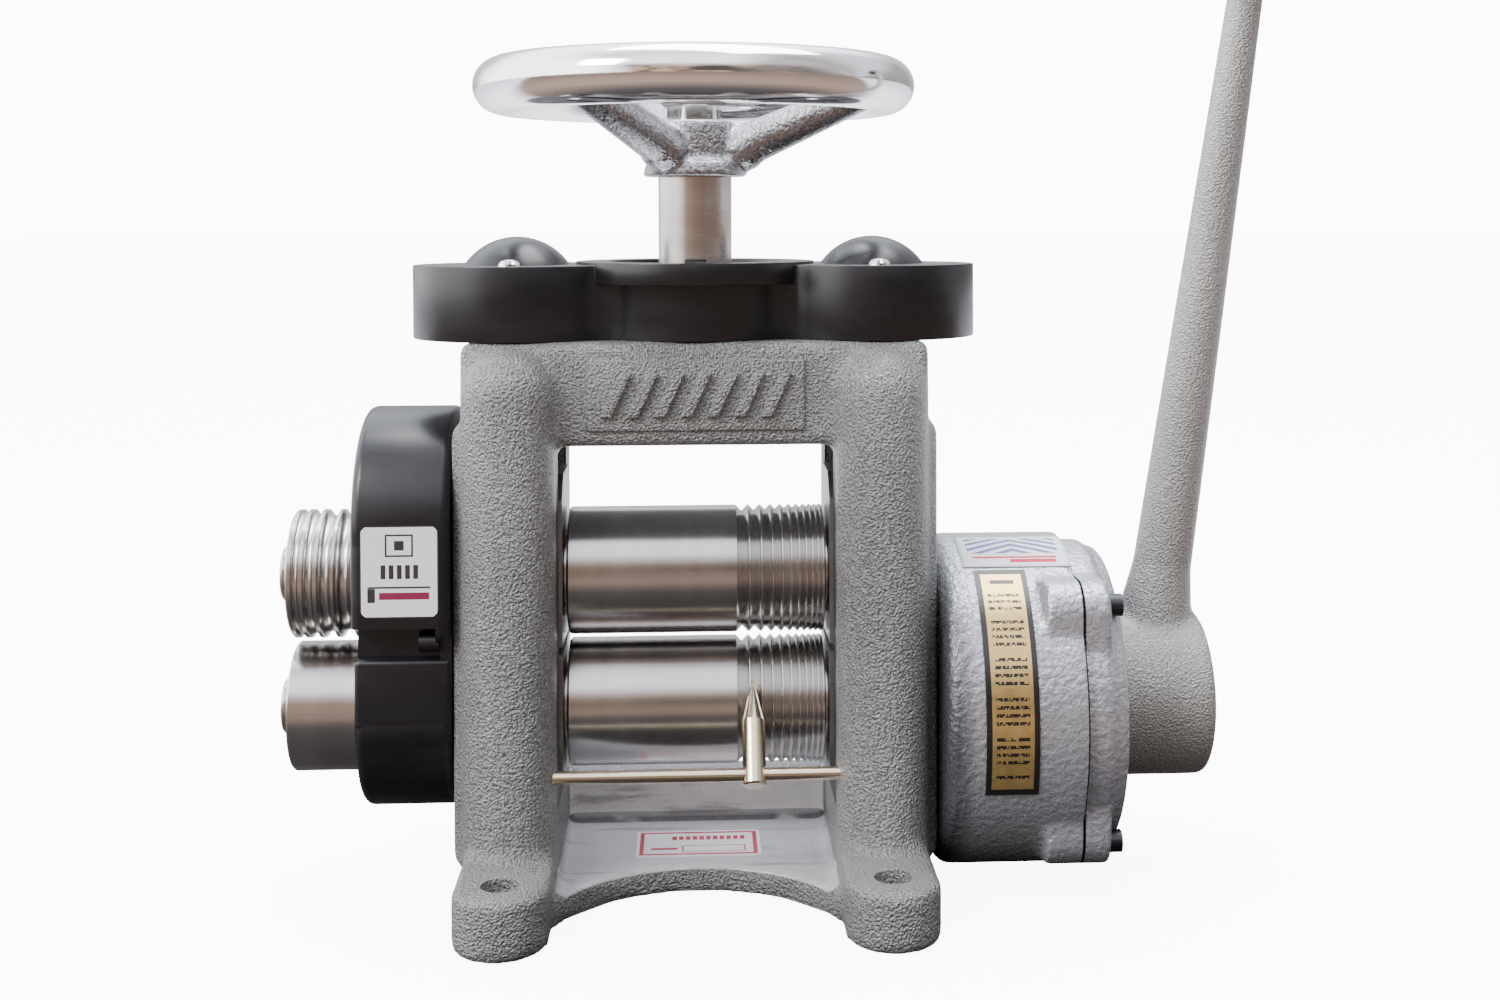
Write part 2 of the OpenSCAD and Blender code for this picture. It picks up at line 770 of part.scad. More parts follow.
module screw_gear(s) {
  color(gear_steel)
  translate([s * column_x, 0, frame_height + 2.9])
    spur_gear(adjust_teeth, adjust_module, 20, adjust_tip_r,
              adjust_teeth * adjust_module / 2 - 1.25 * adjust_module, 0.25, 10, screw_r, 3);
}

module left_screw_gear() { screw_gear(-1); }

module right_screw_gear() { screw_gear(1); }

module screw_nut(s) {
  color(bronze)
  translate([s * column_x, 0, window_high]) tube(nut_r, screw_r + fit, frame_height - window_high);
}

module left_screw_nut() { screw_nut(-1); }

module right_screw_nut() { screw_nut(1); }

// Outline of three overlapping round lobes with filleted valleys
function lobe_outline(r, fillet) =
  let (half = column_x / 2,
       vy = sqrt(pow(r + fillet, 2) - pow(half, 2)),
       a = atan2(vy, half))
  concat(
    arc_points(column_x, 0, r, a - 180, 180 - a, 40),
    arc_points(half, vy, fillet, -a, a - 180, 8),
    arc_points(0, 0, r, a, 180 - a, 12),
    arc_points(-half, vy, fillet, -a, a - 180, 8),
    arc_points(-column_x, 0, r, a, 360 - a, 40),
    arc_points(-half, -vy, fillet, 180 - a, a, 8),
    arc_points(0, 0, r, 180 + a, 360 - a, 12),
    arc_points(half, -vy, fillet, 180 - a, a, 8));

module top_cover() {
  color(black_plastic)
  difference() {
    union() {
      translate([0, 0, frame_height]) linear_extrude(height = cover_height)
        polygon(lobe_outline(lobe_r, 12));
      translate([0, 0, cover_top - 7.2]) cylinder(r = collar_r, h = 8.4);
      block(-4.1, 4.1, -collar_r + 0.6, -collar_r + 4, cover_top, cover_top + 2.9);
    }
    translate([0, 0, frame_height - 1]) linear_extrude(height = cover_height - 2.5)
      polygon(lobe_outline(lobe_in_r, 14));
    translate([0, 0, cover_roof - 1]) cylinder(r = opening_r, h = 8);
    for (s = [-1, 1])
      translate([s * column_x, 0, cover_roof - 1]) cylinder(r = screw_r + 1.5, h = 6);
  }
}

module dome_cap(s) {
  color(black_plastic)
  translate([s * column_x, 0, cover_top])
    intersection() {
      difference() {
        translate([0, 0, dome_height - dome_sphere_r]) sphere(r = dome_sphere_r, $fn = 96);
        translate([0, 0, -1]) cylinder(r = screw_r + 1.5, h = 7.5);
      }
      cylinder(r = dome_base_r + 2, h = dome_height + 1);
    }
}

module left_dome_cap() { dome_cap(-1); }

module right_dome_cap() { dome_cap(1); }

module cover_screws() {
  color(chrome)
  for (s = [-1, 1])
    translate([s * column_x, -lobe_r + 8.6, cover_top])
      rotate_extrude() polygon([[0, 0], [4.2, 0], [4.1, 0.9], [3.2, 2], [1.6, 2.5], [0, 2.6]]);
}

module handwheel() {
  spoke_rise = wheel_z - hub_low - 9;
  color(chrome)
  difference() {
    union() {
      translate([0, 0, wheel_z]) rotate_extrude($fn = 96)
        translate([wheel_path_r, 0]) circle(r = wheel_rim / 2);
      translate([0, 0, hub_low]) rotate_extrude()
        polygon([[0, 0], [19.5, 0], [20.5, 1], [20.5, 5], [17, 8.5], [14.5, 13],
                 [15, 19], [17, 22.3], [0, 22.3]]);
      for (a = [110, 230, 350])
        rotate([0, 0, a]) translate([10, 0, hub_low + 11])
          rotate([0, atan2(wheel_path_r - 18, spoke_rise - 6), 0])
          cylinder(r = 6.4, h = sqrt(pow(wheel_path_r - 18, 2) + pow(spoke_rise - 6, 2)));
    }
    translate([0, 0, hub_low - 1]) cylinder(r = 9, h = hub_high - hub_low + 2);
  }
}

module wheel_nut() {
  color(chrome)
  translate([0, 0, hub_high])
    difference() {
      cylinder(r = 11, h = 5.4);
      translate([0, 0, -1]) cylinder(r = 5, h = 8);
    }
}

// ---- wire guide ----

module guide_bar() {
  color(zinc_yellow)
  rod_x(-inner_x - 8.5, inner_x + 8.5, bar_r, guide_z, -guide_y);
}

module guide_sleeve() {
  color(bronze)
  translate([guide_pin_x, -guide_y, guide_z]) rotate([0, 90, 0])
    translate([0, 0, -3.6]) tube(sleeve_r, bar_r + fit, 7.2);
}

module guide_pin() {
  cone = 16;
  color(zinc_yellow)
  difference() {
    translate([guide_pin_x, -guide_y, guide_z])
      rotate([guide_tilt - 90, 0, 0])
      translate([0, 0, -guide_tail])
      rotate_extrude()
      polygon([[0, 0], [guide_r - 0.6, 0], [guide_r, 0.6], [guide_r, guide_pin_length - cone],
               [0.3, guide_pin_length], [0, guide_pin_length]]);
    rod_x(guide_pin_x - 8, guide_pin_x + 8, sleeve_r + fit, guide_z, -guide_y);
  }
}

frame_casting();
left_lower_block();
right_lower_block();
left_lower_bush();
right_lower_bush();
left_screw_nut();
right_screw_nut();
shaft_bush();
top_cover();
left_dome_cap();
right_dome_cap();
cover_screws();
gear_guard();
guard_bolts();
guard_label();
gearbox_housing();
gearbox_cover();
gearbox_screws();
ring_gear();
crank_bush();
instruction_plate();
top_decal();
serial_label();
guide_bar();
left_upper_block();
right_upper_block();
left_upper_bush();
right_upper_bush();
left_return_springs();
right_return_springs();
upper_roll();
upper_roll_gear();
upper_extension_roll();
lower_roll();
lower_roll_gear();
lower_extension_roll();
planet_carrier();
planet_pins();
planet_gear_1();
planet_gear_2();
planet_gear_3();
crank_arm();
crank_shaft();
crank_screw();
grip_bolt();
crank_grip();
handwheel();
adjusting_shaft();
centre_gear();
wheel_nut();
dial_disc();
left_leadscrew();
left_screw_gear();
right_leadscrew();
right_screw_gear();
guide_sleeve();
guide_pin();
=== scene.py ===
"""Looks of the bench rolling mill: castings, chrome, rolls, covers, labels, light and camera."""

import math

import bpy
from mathutils import Euler, Matrix, Vector


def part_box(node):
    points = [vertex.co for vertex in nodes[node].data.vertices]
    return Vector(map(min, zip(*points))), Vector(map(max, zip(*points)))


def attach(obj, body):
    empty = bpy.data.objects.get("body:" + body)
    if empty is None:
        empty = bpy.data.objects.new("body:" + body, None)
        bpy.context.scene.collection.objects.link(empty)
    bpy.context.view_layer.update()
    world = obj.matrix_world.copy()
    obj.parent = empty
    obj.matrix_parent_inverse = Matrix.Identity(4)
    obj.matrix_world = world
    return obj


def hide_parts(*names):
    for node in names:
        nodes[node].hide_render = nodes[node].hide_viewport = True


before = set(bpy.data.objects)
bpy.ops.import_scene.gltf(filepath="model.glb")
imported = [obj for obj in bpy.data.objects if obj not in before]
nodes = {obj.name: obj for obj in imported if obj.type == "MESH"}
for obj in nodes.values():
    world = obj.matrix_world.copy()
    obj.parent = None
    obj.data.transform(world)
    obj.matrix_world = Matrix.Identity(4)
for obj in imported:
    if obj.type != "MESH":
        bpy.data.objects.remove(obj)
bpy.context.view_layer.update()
box_of = {name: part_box(name) for name in ("gearbox_housing", "crank_arm")}
MM = 0.001

# Millimetres; Z is the height above the bench and X runs along the rolls
DRIVE_Z = 66.5              # axis of the lower roll, gearbox and crank
UPPER_Z = 118.8             # axis of the upper roll
COLUMN_X, COLUMN_Y = 70.2, 40
COLUMN_R = 17.6
COLUMN_TOP = 192.4
FOOT_X, FOOT_Y = 70, 79.7
ARCH_Y, ARCH_R = 87.46, 56.46
FLANGE_LOW, FLANGE_HIGH = (-53.9, 12.6), (53.9, 120.4)
FLANGE_CORNER = 12
ARM_LENGTH = 300
RIM_Z = 310


# ---------------------------------------------------------------- shader wires

class Wire:
    """A socket that takes part in sums; numbers are mixed in freely."""

    def __init__(self, mat, socket):
        self.mat = mat
        self.socket = socket

    def _calc(self, kind, a, b=None):
        ins = {0: a} if b is None else {0: a, 1: b}
        return self.mat.node("ShaderNodeMath", {"operation": kind}, ins)

    def __add__(self, o):
        return self._calc("ADD", self, o)

    __radd__ = __add__

    def __sub__(self, o):
        return self._calc("SUBTRACT", self, o)

    def __rsub__(self, o):
        return self._calc("SUBTRACT", o, self)

    def __mul__(self, o):
        return self._calc("MULTIPLY", self, o)

    __rmul__ = __mul__

    def __truediv__(self, o):
        return self._calc("DIVIDE", self, o)

    def __gt__(self, o):
        return self._calc("GREATER_THAN", self, o)

    def __lt__(self, o):
        return self._calc("LESS_THAN", self, o)

    def size(self):
        return self._calc("ABSOLUTE", self)

    def most(self, o):
        return self._calc("MAXIMUM", self, o)

    def least(self, o):
        return self._calc("MINIMUM", self, o)

    def beat(self, step):
        """Counts up to the step, again and again: what repeats along a surface."""
        return self._calc("FLOORED_MODULO", self, step)

    def held(self):
        """Kept between 0 and 1."""
        return self.most(0.0).least(1.0)

    def floor(self):
        return self._calc("FLOOR", self)


class Finish:
    """One procedural material: a Principled shader and the nodes that feed it."""

    def __init__(self, name, **fixed):
        self.m = bpy.data.materials.new(name)
        self.m.use_nodes = True
        self.tree = self.m.node_tree
        self.shader = self.tree.nodes["Principled BSDF"]
        for key, value in fixed.items():
            self.set(key.replace("_", " ").title().replace("Ior", "IOR"), value)
        self.where = self.node("ShaderNodeTexCoord", out="Object")
        self.x, self.y, self.z = (
            self.node("ShaderNodeSeparateXYZ", {}, {0: self.where}, out=k) for k in "XYZ")

    def node(self, kind, settings=None, ins=None, out=0):
        n = self.tree.nodes.new(kind)
        for key, value in (settings or {}).items():
            setattr(n, key, value)
        for key, value in (ins or {}).items():
            if isinstance(value, Wire):
                self.tree.links.new(value.socket, n.inputs[key])
            else:
                n.inputs[key].default_value = value
        return Wire(self, n.outputs[out])

    def set(self, key, value):
        if isinstance(value, Wire):
            self.tree.links.new(value.socket, self.shader.inputs[key])
        else:
            if key == "Base Color" and len(value) == 3:
                value = (*value, 1)
            self.shader.inputs[key].default_value = value

    def noise(self, scale, detail=2.0, rough=0.5, stretch=None):
        at = self.where
        if stretch:
            at = self.node("ShaderNodeMapping", {}, {0: at, "Scale": stretch})
        ins = {"Vector": at, "Scale": scale, "Detail": detail, "Roughness": rough}
        return self.node("ShaderNodeTexNoise", {}, ins)

    def drum_arc(self):
        """Distance round the gearbox drum, from the front upwards."""
        ins = {0: self.z - DRIVE_Z * MM, 1: 0 - self.y}
        return self.node("ShaderNodeMath", {"operation": "ARCTAN2"}, ins) * 0.0648

    def ramp(self, value, low, high):
        """Rises from 0 at low to 1 at high; low may be the larger of the two."""
        return ((value - low) / (high - low)).held()

    def mix(self, factor, a, b):
        n = self.tree.nodes.new("ShaderNodeMix")
        n.data_type = "RGBA"
        for i, v in ((0, factor), (6, a), (7, b)):
            if isinstance(v, Wire):
                self.tree.links.new(v.socket, n.inputs[i])
            else:
                n.inputs[i].default_value = v if i == 0 else (*v, 1)
        return Wire(self, n.outputs[2])

    def bump(self, height, strength, distance):
        ins = {"Height": height, "Strength": strength, "Distance": distance}
        self.set("Normal", self.node("ShaderNodeBump", {}, ins))

    def use(self, *objs):
        for o in objs:
            o = nodes[o] if isinstance(o, str) else o
            o.data.materials.clear()
            o.data.materials.append(self.m)


def cast_paint(name, light, dark, grain, ridge, depth, rough, inner=False, seam=False):
    """Silver hammered paint over a rough casting, with painted shade and glints in its relief; inside the
    frame it is smoother, with dark streaks, painted light on the floor and back wall, and painted shade in a
    crease and on the inner faces; with seam, a dark seam line and painted shade on the drum.
    """
    f = Finish(name, metallic=0.55, coat_weight=0.18, coat_roughness=0.25)
    bumps = f.node("ShaderNodeTexNoise", {}, {"Vector": f.where, "Scale": grain, "Detail": 1.6,
                                              "Roughness": 0.5, "Distortion": ridge})
    fine = f.noise(grain * 2.6, 2, 0.6)
    patch = f.noise(12, 3)
    height = bumps + fine * 0.22
    # Lighter on the lumps and darker in the hollows of the hammered paint: partly the paint's own mottle,
    # partly painted shade in the hollows and painted glints on the lumps
    tone = f.ramp(height, 0.42, 0.80) * 0.65 + f.ramp(patch, 0.35, 0.7) * 0.35
    colour = f.mix(tone, dark, light)
    rough = f.ramp(fine, 0.3, 0.7) * 0.12 + rough
    if inner:
        # The floor between the side frames, up to the top of the back wall; its colour is painted light: pale
        # grey on the floor and near white on the back wall, paler than the frame paint, to look lit in their
        # shade
        smooth_and_painted_light = ((f.x.size() < 0.0524) * (f.z > 0.0088) * (f.z < 0.0312)
                  * (f.y > -0.058) * (f.y < 0.0285))
        streak = f.ramp(f.noise(55, 4, 0.6, stretch=(0.3, 2.2, 2.2)), 0.56, 0.66) * smooth_and_painted_light
        # Painted shade: a broken dark line in the crease at the foot of the back wall
        painted_crease_shade = (f.ramp((f.y - 0.024).size(), 0.003, 0.0012) * smooth_and_painted_light * (f.z < 0.0125)
                  * f.ramp(f.noise(40, 2), 0.4, 0.5))
        wall = f.z > 0.0128
        # Painted light: the back wall's face near white, the floor pale grey
        colour = f.mix(smooth_and_painted_light * 0.9, colour, f.mix(wall, (0.52, 0.52, 0.55), (0.96, 0.96, 0.98)))
        # Dark streaks on the floor, and the painted shade in the crease, both near black
        colour = f.mix((streak * 0.45).most(painted_crease_shade * 0.85), colour, (0.06, 0.06, 0.07))
        rough = rough - smooth_and_painted_light * 0.16
        height = height * (1 - smooth_and_painted_light * 0.8)
        # The inner faces of the side frames, beside the rolls, painted near black as painted shade
        painted_cheek_shade = ((f.x.size() > 0.0500) * (f.x.size() < 0.0538) * (f.y.size() < 0.036)
                 * (f.z > 0.033) * (f.z < 0.171))
        colour = f.mix(painted_cheek_shade, colour, (0.045, 0.045, 0.05))
        f.set("Metallic", 0.55 - smooth_and_painted_light * 0.45)
    if seam:
        line = (f.x - (box_of["gearbox_housing"][1].x + 0.0002)).size() < 0.0006
        # Painted shade: a dark band on the end of the drum beside the frame, low down; drawn together with
        # the seam line
        shade = f.ramp(f.x, 0.1035, 0.0960) * f.ramp(f.z, 0.124, 0.106) * 0.85
        colour = f.mix(line.most(shade), colour, (0.04, 0.04, 0.05))
    f.set("Base Color", colour)
    f.set("Roughness", rough)
    f.bump(height, 1.0, depth)
    return f


def ground_steel(name, base, rough):
    """Turned and ground steel: faint fine rings round X and a few heat-brown bands."""
    f = Finish(name, metallic=1.0)
    rings = f.noise(1.0, 3, 0.6, stretch=(4200, 10, 10))
    bands = f.noise(1.0, 2, 0.5, stretch=(90, 6, 6))
    f.set("Base Color", f.mix(f.ramp(bands, 0.35, 0.65) * 0.6 + rings * 0.4,
                              [c * 0.92 for c in base], [min(1, c * 1.06) for c in base]))
    f.set("Roughness", rings * 0.10 + bands * 0.05 + rough)
    f.bump(rings, 0.035, 0.0002)
    return f


def shaft_steel():
    """The upright shaft under the handwheel: rings round Z, slightly warm."""
    f = Finish("shaft_steel", metallic=1.0)
    rings = f.noise(1.0, 3, 0.6, stretch=(10, 10, 4200))
    bands = f.noise(1.0, 2, 0.5, stretch=(30, 30, 110))
    f.set("Base Color", f.mix(f.ramp(bands, 0.3, 0.7), (0.46, 0.42, 0.38), (0.56, 0.53, 0.49)))
    f.set("Roughness", rings * 0.06 + 0.25)
    f.bump(rings, 0.012, 0.0002)
    return f


def plain_metal(name, base, rough, grain, strength, spread=0.12):
    """Bare metal with a fine grain and a broad, faint change of tone."""
    f = Finish(name, metallic=1.0)
    fine = f.noise(grain, 3, 0.6)
    broad = f.noise(45, 3, 0.5)
    f.set("Base Color", f.mix(f.ramp(broad, 0.3, 0.7) * 0.6 + fine * 0.4,
                              [c * (1 - spread) for c in base], [min(1, c * (1 + spread)) for c in base]))
    f.set("Roughness", fine * 0.1 + broad * 0.08 + rough)
    f.bump(fine, strength, 0.0004)
    return f


def rough_chrome():
    """Plating over a rough casting: bright, but dimpled."""
    f = Finish("rough_chrome", metallic=1.0)
    pits = f.noise(900, 2, 0.5)
    lumps = f.noise(420, 1.5, 0.5)
    f.set("Base Color", f.mix(f.ramp(pits, 0.35, 0.65), (0.20, 0.20, 0.21), (0.38, 0.38, 0.40)))
    f.set("Roughness", pits * 0.12 + lumps * 0.08 + 0.22)
    f.bump(pits * 0.5 + lumps * 0.5, 0.9, 0.0009)
    return f


def satin_black(name, rough, lift=0.0):
    """Black plastic or paint with a faint smear; lift makes it a little paler."""
    f = Finish(name, specular_ior_level=0.45)
    speck = f.noise(1500, 2, 0.6)
    smear = f.noise(30, 4, 0.55, stretch=(1, 1, 3))
    f.set("Base Color", f.mix(f.ramp(smear, 0.35, 0.75), (0.006 + lift, 0.006 + lift, 0.008 + lift),
                              (0.014 + lift, 0.014 + lift, 0.018 + lift)))
    f.set("Roughness", f.ramp(smear, 0.3, 0.7) * 0.08 + speck * 0.08 + rough)
    f.bump(speck, 0.05, 0.0002)
    return f


def zinc_finish():
    """Yellow-passivated zinc with a pink tinge."""
    f = Finish("zinc_yellow", metallic=1.0)
    hue = f.noise(28, 3, 0.5, stretch=(1, 4, 4))
    fine = f.noise(1.0, 3, 0.6, stretch=(2600, 60, 60))
    warm = f.mix(f.ramp(hue, 0.38, 0.62), (0.72, 0.64, 0.36), (0.74, 0.60, 0.50))
    f.set("Base Color", f.mix(fine * 0.4, warm, (0.80, 0.78, 0.60)))
    f.set("Roughness", fine * 0.12 + 0.16)
    f.bump(fine, 0.06, 0.0002)
    return f


def stroke(u, v, cu, cv, hu, hv):
    """1 inside a rectangle centred at cu, cv with half sizes hu, hv."""
    return ((u - cu).size() < hu) * ((v - cv).size() < hv)


def guard_label_finish():
    """White sticker with a dark outline, a plain mark, a row of bars and a dark red line."""
    f = Finish("guard_label", roughness=0.28, coat_weight=0.4, coat_roughness=0.1)
    u = f.x + 0.1101
    v = f.z - 0.1274
    outline = (u.size() > 0.0140).most(v.size() > 0.0167)
    rule = stroke(u, v, 0, -0.0058, 0.0115, 0.00035)
    bars = stroke(u, v, 0, 0.0000, 0.0075, 0.0026) * ((u + 0.5).beat(0.0030) > 0.0012)
    mark = stroke(u, v, 0, 0.0098, 0.0052, 0.0042) - stroke(u, v, 0, 0.0098, 0.0045, 0.0035)
    core = stroke(u, v, 0, 0.0098, 0.0018, 0.0018)
    low = stroke(u, v, 0.0018, -0.0090, 0.0092, 0.0013)
    dot = stroke(u, v, -0.0103, -0.0088, 0.0014, 0.0026)
    grime = f.noise(120, 3)
    base = f.mix(f.ramp(grime, 0.4, 0.8) * 0.15, (0.93, 0.95, 0.97), (0.75, 0.77, 0.80))
    base = f.mix(rule.most(bars).most(mark).most(core).most(dot).held(), base, (0.03, 0.03, 0.035))
    base = f.mix(low, base, (0.24, 0.02, 0.07))
    f.set("Base Color", f.mix(outline, base, (0.03, 0.03, 0.035)))
    return f


def gold_plate_finish():
    """Gold foil with a black border and rows of plain dashes."""
    f = Finish("gold_plate")
    u = f.x - 0.1161
    v = f.drum_arc() - 0.0230
    border = (u.size() > 0.0078).most(v.size() > 0.0426)
    row = (v + 0.5).beat(0.0029)
    cell = f.node("ShaderNodeTexNoise", {"noise_dimensions": "2D"}, {
        "Vector": f.node("ShaderNodeCombineXYZ", {}, {0: u * 1000, 1: (v / 0.0029).floor() * 7.3}),
        "Scale": 1.0, "Detail": 0.0})
    dashes = (row > 0.0007) * (row < 0.0020) * (cell > 0.39) * (u.size() < 0.0062) * (v > -0.0398)
    dashes = dashes * ((v + 0.5).beat(0.0145) > 0.0029) * (v < 0.033)
    head = stroke(u, v, 0, 0.0385, 0.0046, 0.0010)
    foil = f.noise(260, 2)
    gold = f.mix(foil, (0.50, 0.33, 0.11), (0.74, 0.56, 0.24))
    ink = dashes.most(head).most(border)
    f.set("Base Color", f.mix(ink, gold, (0.012, 0.010, 0.010)))
    f.set("Metallic", 0.8 - ink * 0.8)
    f.set("Roughness", foil * 0.12 + 0.24)
    return f


def top_decal_finish():
    """Pale decal on top of the drum: blue chevrons over a red line and a red block."""
    f = Finish("top_decal", roughness=0.5, specular_ior_level=0.2)
    u = f.x - 0.1233
    v = f.drum_arc() - 0.08284
    edge = (u.size() > 0.0200).most(v.size() > 0.0120)
    field = stroke(u, v, 0, 0.003, 0.0178, 0.0068)
    chevron = ((u.size() * 0.5 + v).beat(0.0045) > 0.0024) * field
    thin = stroke(u, v, 0, -0.0066, 0.0165, 0.0006)
    block_mark = stroke(u, v, 0.007, -0.0090, 0.009, 0.0011)
    haze = f.noise(200, 3)
    base = f.mix(haze * 0.3, (0.80, 0.82, 0.85), (0.62, 0.65, 0.70))
    base = f.mix(chevron * 0.9, base, (0.06, 0.12, 0.36))
    base = f.mix(thin.most(block_mark), base, (0.60, 0.03, 0.06))
    f.set("Base Color", f.mix(edge, base, (0.55, 0.57, 0.60)))
    return f


def serial_label_finish():
    """White sticker with dark red lines: a frame, a row of bars, an empty window and a dash."""
    f = Finish("serial_label", roughness=0.25, coat_weight=0.5, coat_roughness=0.08)
    u = f.x - 0.0005
    v = f.y + 0.0055
    frame_line = ((u.size() > 0.0215).most(v.size() > 0.0115)
                  * ((u.size() < 0.0232) * (v.size() < 0.0132)))
    bars = stroke(u, v, 0.004, 0.006, 0.0145, 0.0022) * ((u + 0.5).beat(0.0027) > 0.0008)
    window = stroke(u, v, 0.006, -0.0062, 0.0125, 0.0036) - stroke(u, v, 0.006, -0.0062, 0.0119, 0.0030)
    caption = stroke(u, v, -0.0135, -0.0062, 0.0052, 0.0012)
    grime = f.noise(90, 4)
    base = f.mix(f.ramp(grime, 0.45, 0.8) * 0.4, (0.95, 0.94, 0.97), (0.80, 0.78, 0.82))
    ink = frame_line.most(bars).most(window).most(caption).held()
    f.set("Base Color", f.mix(ink, base, (0.50, 0.02, 0.06)))
    return f


# ---------------------------------------------------------------- modelling

def rest():
    """Back to object mode, with nothing selected."""
    if bpy.context.object and bpy.context.object.mode != "OBJECT":
        bpy.ops.object.mode_set(mode="OBJECT")
    bpy.ops.object.select_all(action="DESELECT")


def pick(o):
    rest()
    o.select_set(True)
    bpy.context.view_layer.objects.active = o
    return o


def keep(name):
    """Names a new primitive and puts its place and size into its mesh."""
    o = bpy.context.object
    o.name = o.data.name = name
    bpy.ops.object.transform_apply(location=True, rotation=True, scale=True)
    return o


def modify(o, kind, **settings):
    pick(o)
    bpy.ops.object.modifier_add(type=kind)
    m = o.modifiers[-1]
    for key, value in settings.items():
        setattr(m, key, value)
    bpy.ops.object.modifier_apply(modifier=m.name)
    return o


def cube(name, low, high, round_by=0.0, segments=3):
    rest()
    mid = [(a + b) / 2 * MM for a, b in zip(low, high)]
    span = [(b - a) * MM for a, b in zip(low, high)]
    bpy.ops.mesh.primitive_cube_add(size=1, location=mid, scale=span)
    o = keep(name)
    if round_by:
        modify(o, "BEVEL", width=round_by * MM, segments=segments, limit_method="NONE")
    return o


def rod(name, start, end, radius, radius_end=None, sides=96, round_by=0.0, segments=3):
    rest()
    a, b = Vector(start) * MM, Vector(end) * MM
    turn = (b - a).to_track_quat("Z", "Y").to_euler()
    bpy.ops.mesh.primitive_cone_add(vertices=sides, radius1=radius * MM,
                                    radius2=(radius if radius_end is None else radius_end) * MM,
                                    depth=(b - a).length, location=(a + b) / 2, rotation=turn)
    o = keep(name)
    if round_by:
        modify(o, "BEVEL", width=round_by * MM, segments=segments, limit_method="ANGLE",
               angle_limit=math.radians(50))
    return o


def ball(name, centre, radius, squash=(1, 1, 1)):
    rest()
    bpy.ops.mesh.primitive_uv_sphere_add(segments=48, ring_count=24, radius=radius * MM,
                                         location=Vector(centre) * MM, scale=squash)
    return keep(name)


def join(name, parts):
    rest()
    for p in parts:
        p.select_set(True)
    bpy.context.view_layer.objects.active = parts[0]
    bpy.ops.object.join()
    o = bpy.context.object
    o.name = o.data.name = name
    return o


def boolean(o, tool, kind):
    modify(o, "BOOLEAN", operation=kind, solver="EXACT", object=tool)
    bpy.data.objects.remove(tool)
    return o


def cut(o, *tools):
    for t in tools:
        boolean(o, t, "DIFFERENCE")
    return o


def unite(name, parts):
    o = parts[0]
    for p in parts[1:]:
        boolean(o, p, "UNION")
    o.name = o.data.name = name
    return o


def cast(o, voxel, passes):
    """Melts joined parts into one soft-edged casting."""
    modify(o, "REMESH", mode="VOXEL", voxel_size=voxel * MM)
    return modify(o, "SMOOTH", factor=0.5, iterations=passes)


def done(o, body, finish, *replaced, angle=40, slot=None):
    pick(o)
    bpy.ops.object.shade_smooth_by_angle(angle=math.radians(angle))
    finish.use(o)
    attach(o, body)
    if replaced:
        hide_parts(*replaced)
    return o


def bevelled_copy(node, name, width):
    """A CAD node's shape with its sharp edges rounded."""
    rest()
    o = nodes[node].copy()
    o.data = nodes[node].data.copy()
    for key in list(o.keys()):
        del o[key]
    o.parent = None
    bpy.context.scene.collection.objects.link(o)
    o.name = o.data.name = name
    pick(o)
    bpy.ops.object.mode_set(mode="EDIT")
    bpy.ops.mesh.select_all(action="SELECT")
    bpy.ops.mesh.remove_doubles(threshold=0.000004)
    bpy.ops.mesh.customdata_custom_splitnormals_clear()
    bpy.ops.mesh.tris_convert_to_quads()
    bpy.ops.object.mode_set(mode="OBJECT")
    modify(o, "BEVEL", width=width * MM, segments=2, limit_method="ANGLE",
           angle_limit=math.radians(35), use_clamp_overlap=True)
    return o


# Finishes
paint = cast_paint("frame_paint", (0.42, 0.425, 0.425), (0.17, 0.175, 0.175),
                   1000, 0.0, 0.0022, 0.33, inner=True)
box_paint = cast_paint("gearbox_paint", (0.48, 0.50, 0.55), (0.36, 0.375, 0.42),
                       430, 0.2, 0.0008, 0.24, seam=True)
arm_paint = cast_paint("crank_paint", (0.45, 0.45, 0.44), (0.28, 0.28, 0.27), 1150, 0.0, 0.0011, 0.34)
roll_steel = ground_steel("roll_steel", (0.53, 0.52, 0.51), 0.15)
spindle = shaft_steel()
chrome = plain_metal("chrome", (0.88, 0.88, 0.89), 0.02, 60, 0.01, spread=0.03)
cast_chrome = rough_chrome()
black = satin_black("black_plastic", 0.24)
grip_black = satin_black("grip_black", 0.42, 0.004)
black_bolt = plain_metal("black_steel", (0.06, 0.06, 0.07), 0.32, 900, 0.1)
machined = plain_metal("block_steel", (0.34, 0.34, 0.35), 0.3, 500, 0.12)
gear_metal = plain_metal("gear_steel", (0.42, 0.42, 0.44), 0.28, 800, 0.08)
bronze = plain_metal("bronze", (0.60, 0.40, 0.20), 0.26, 600, 0.08)
zinc = zinc_finish()

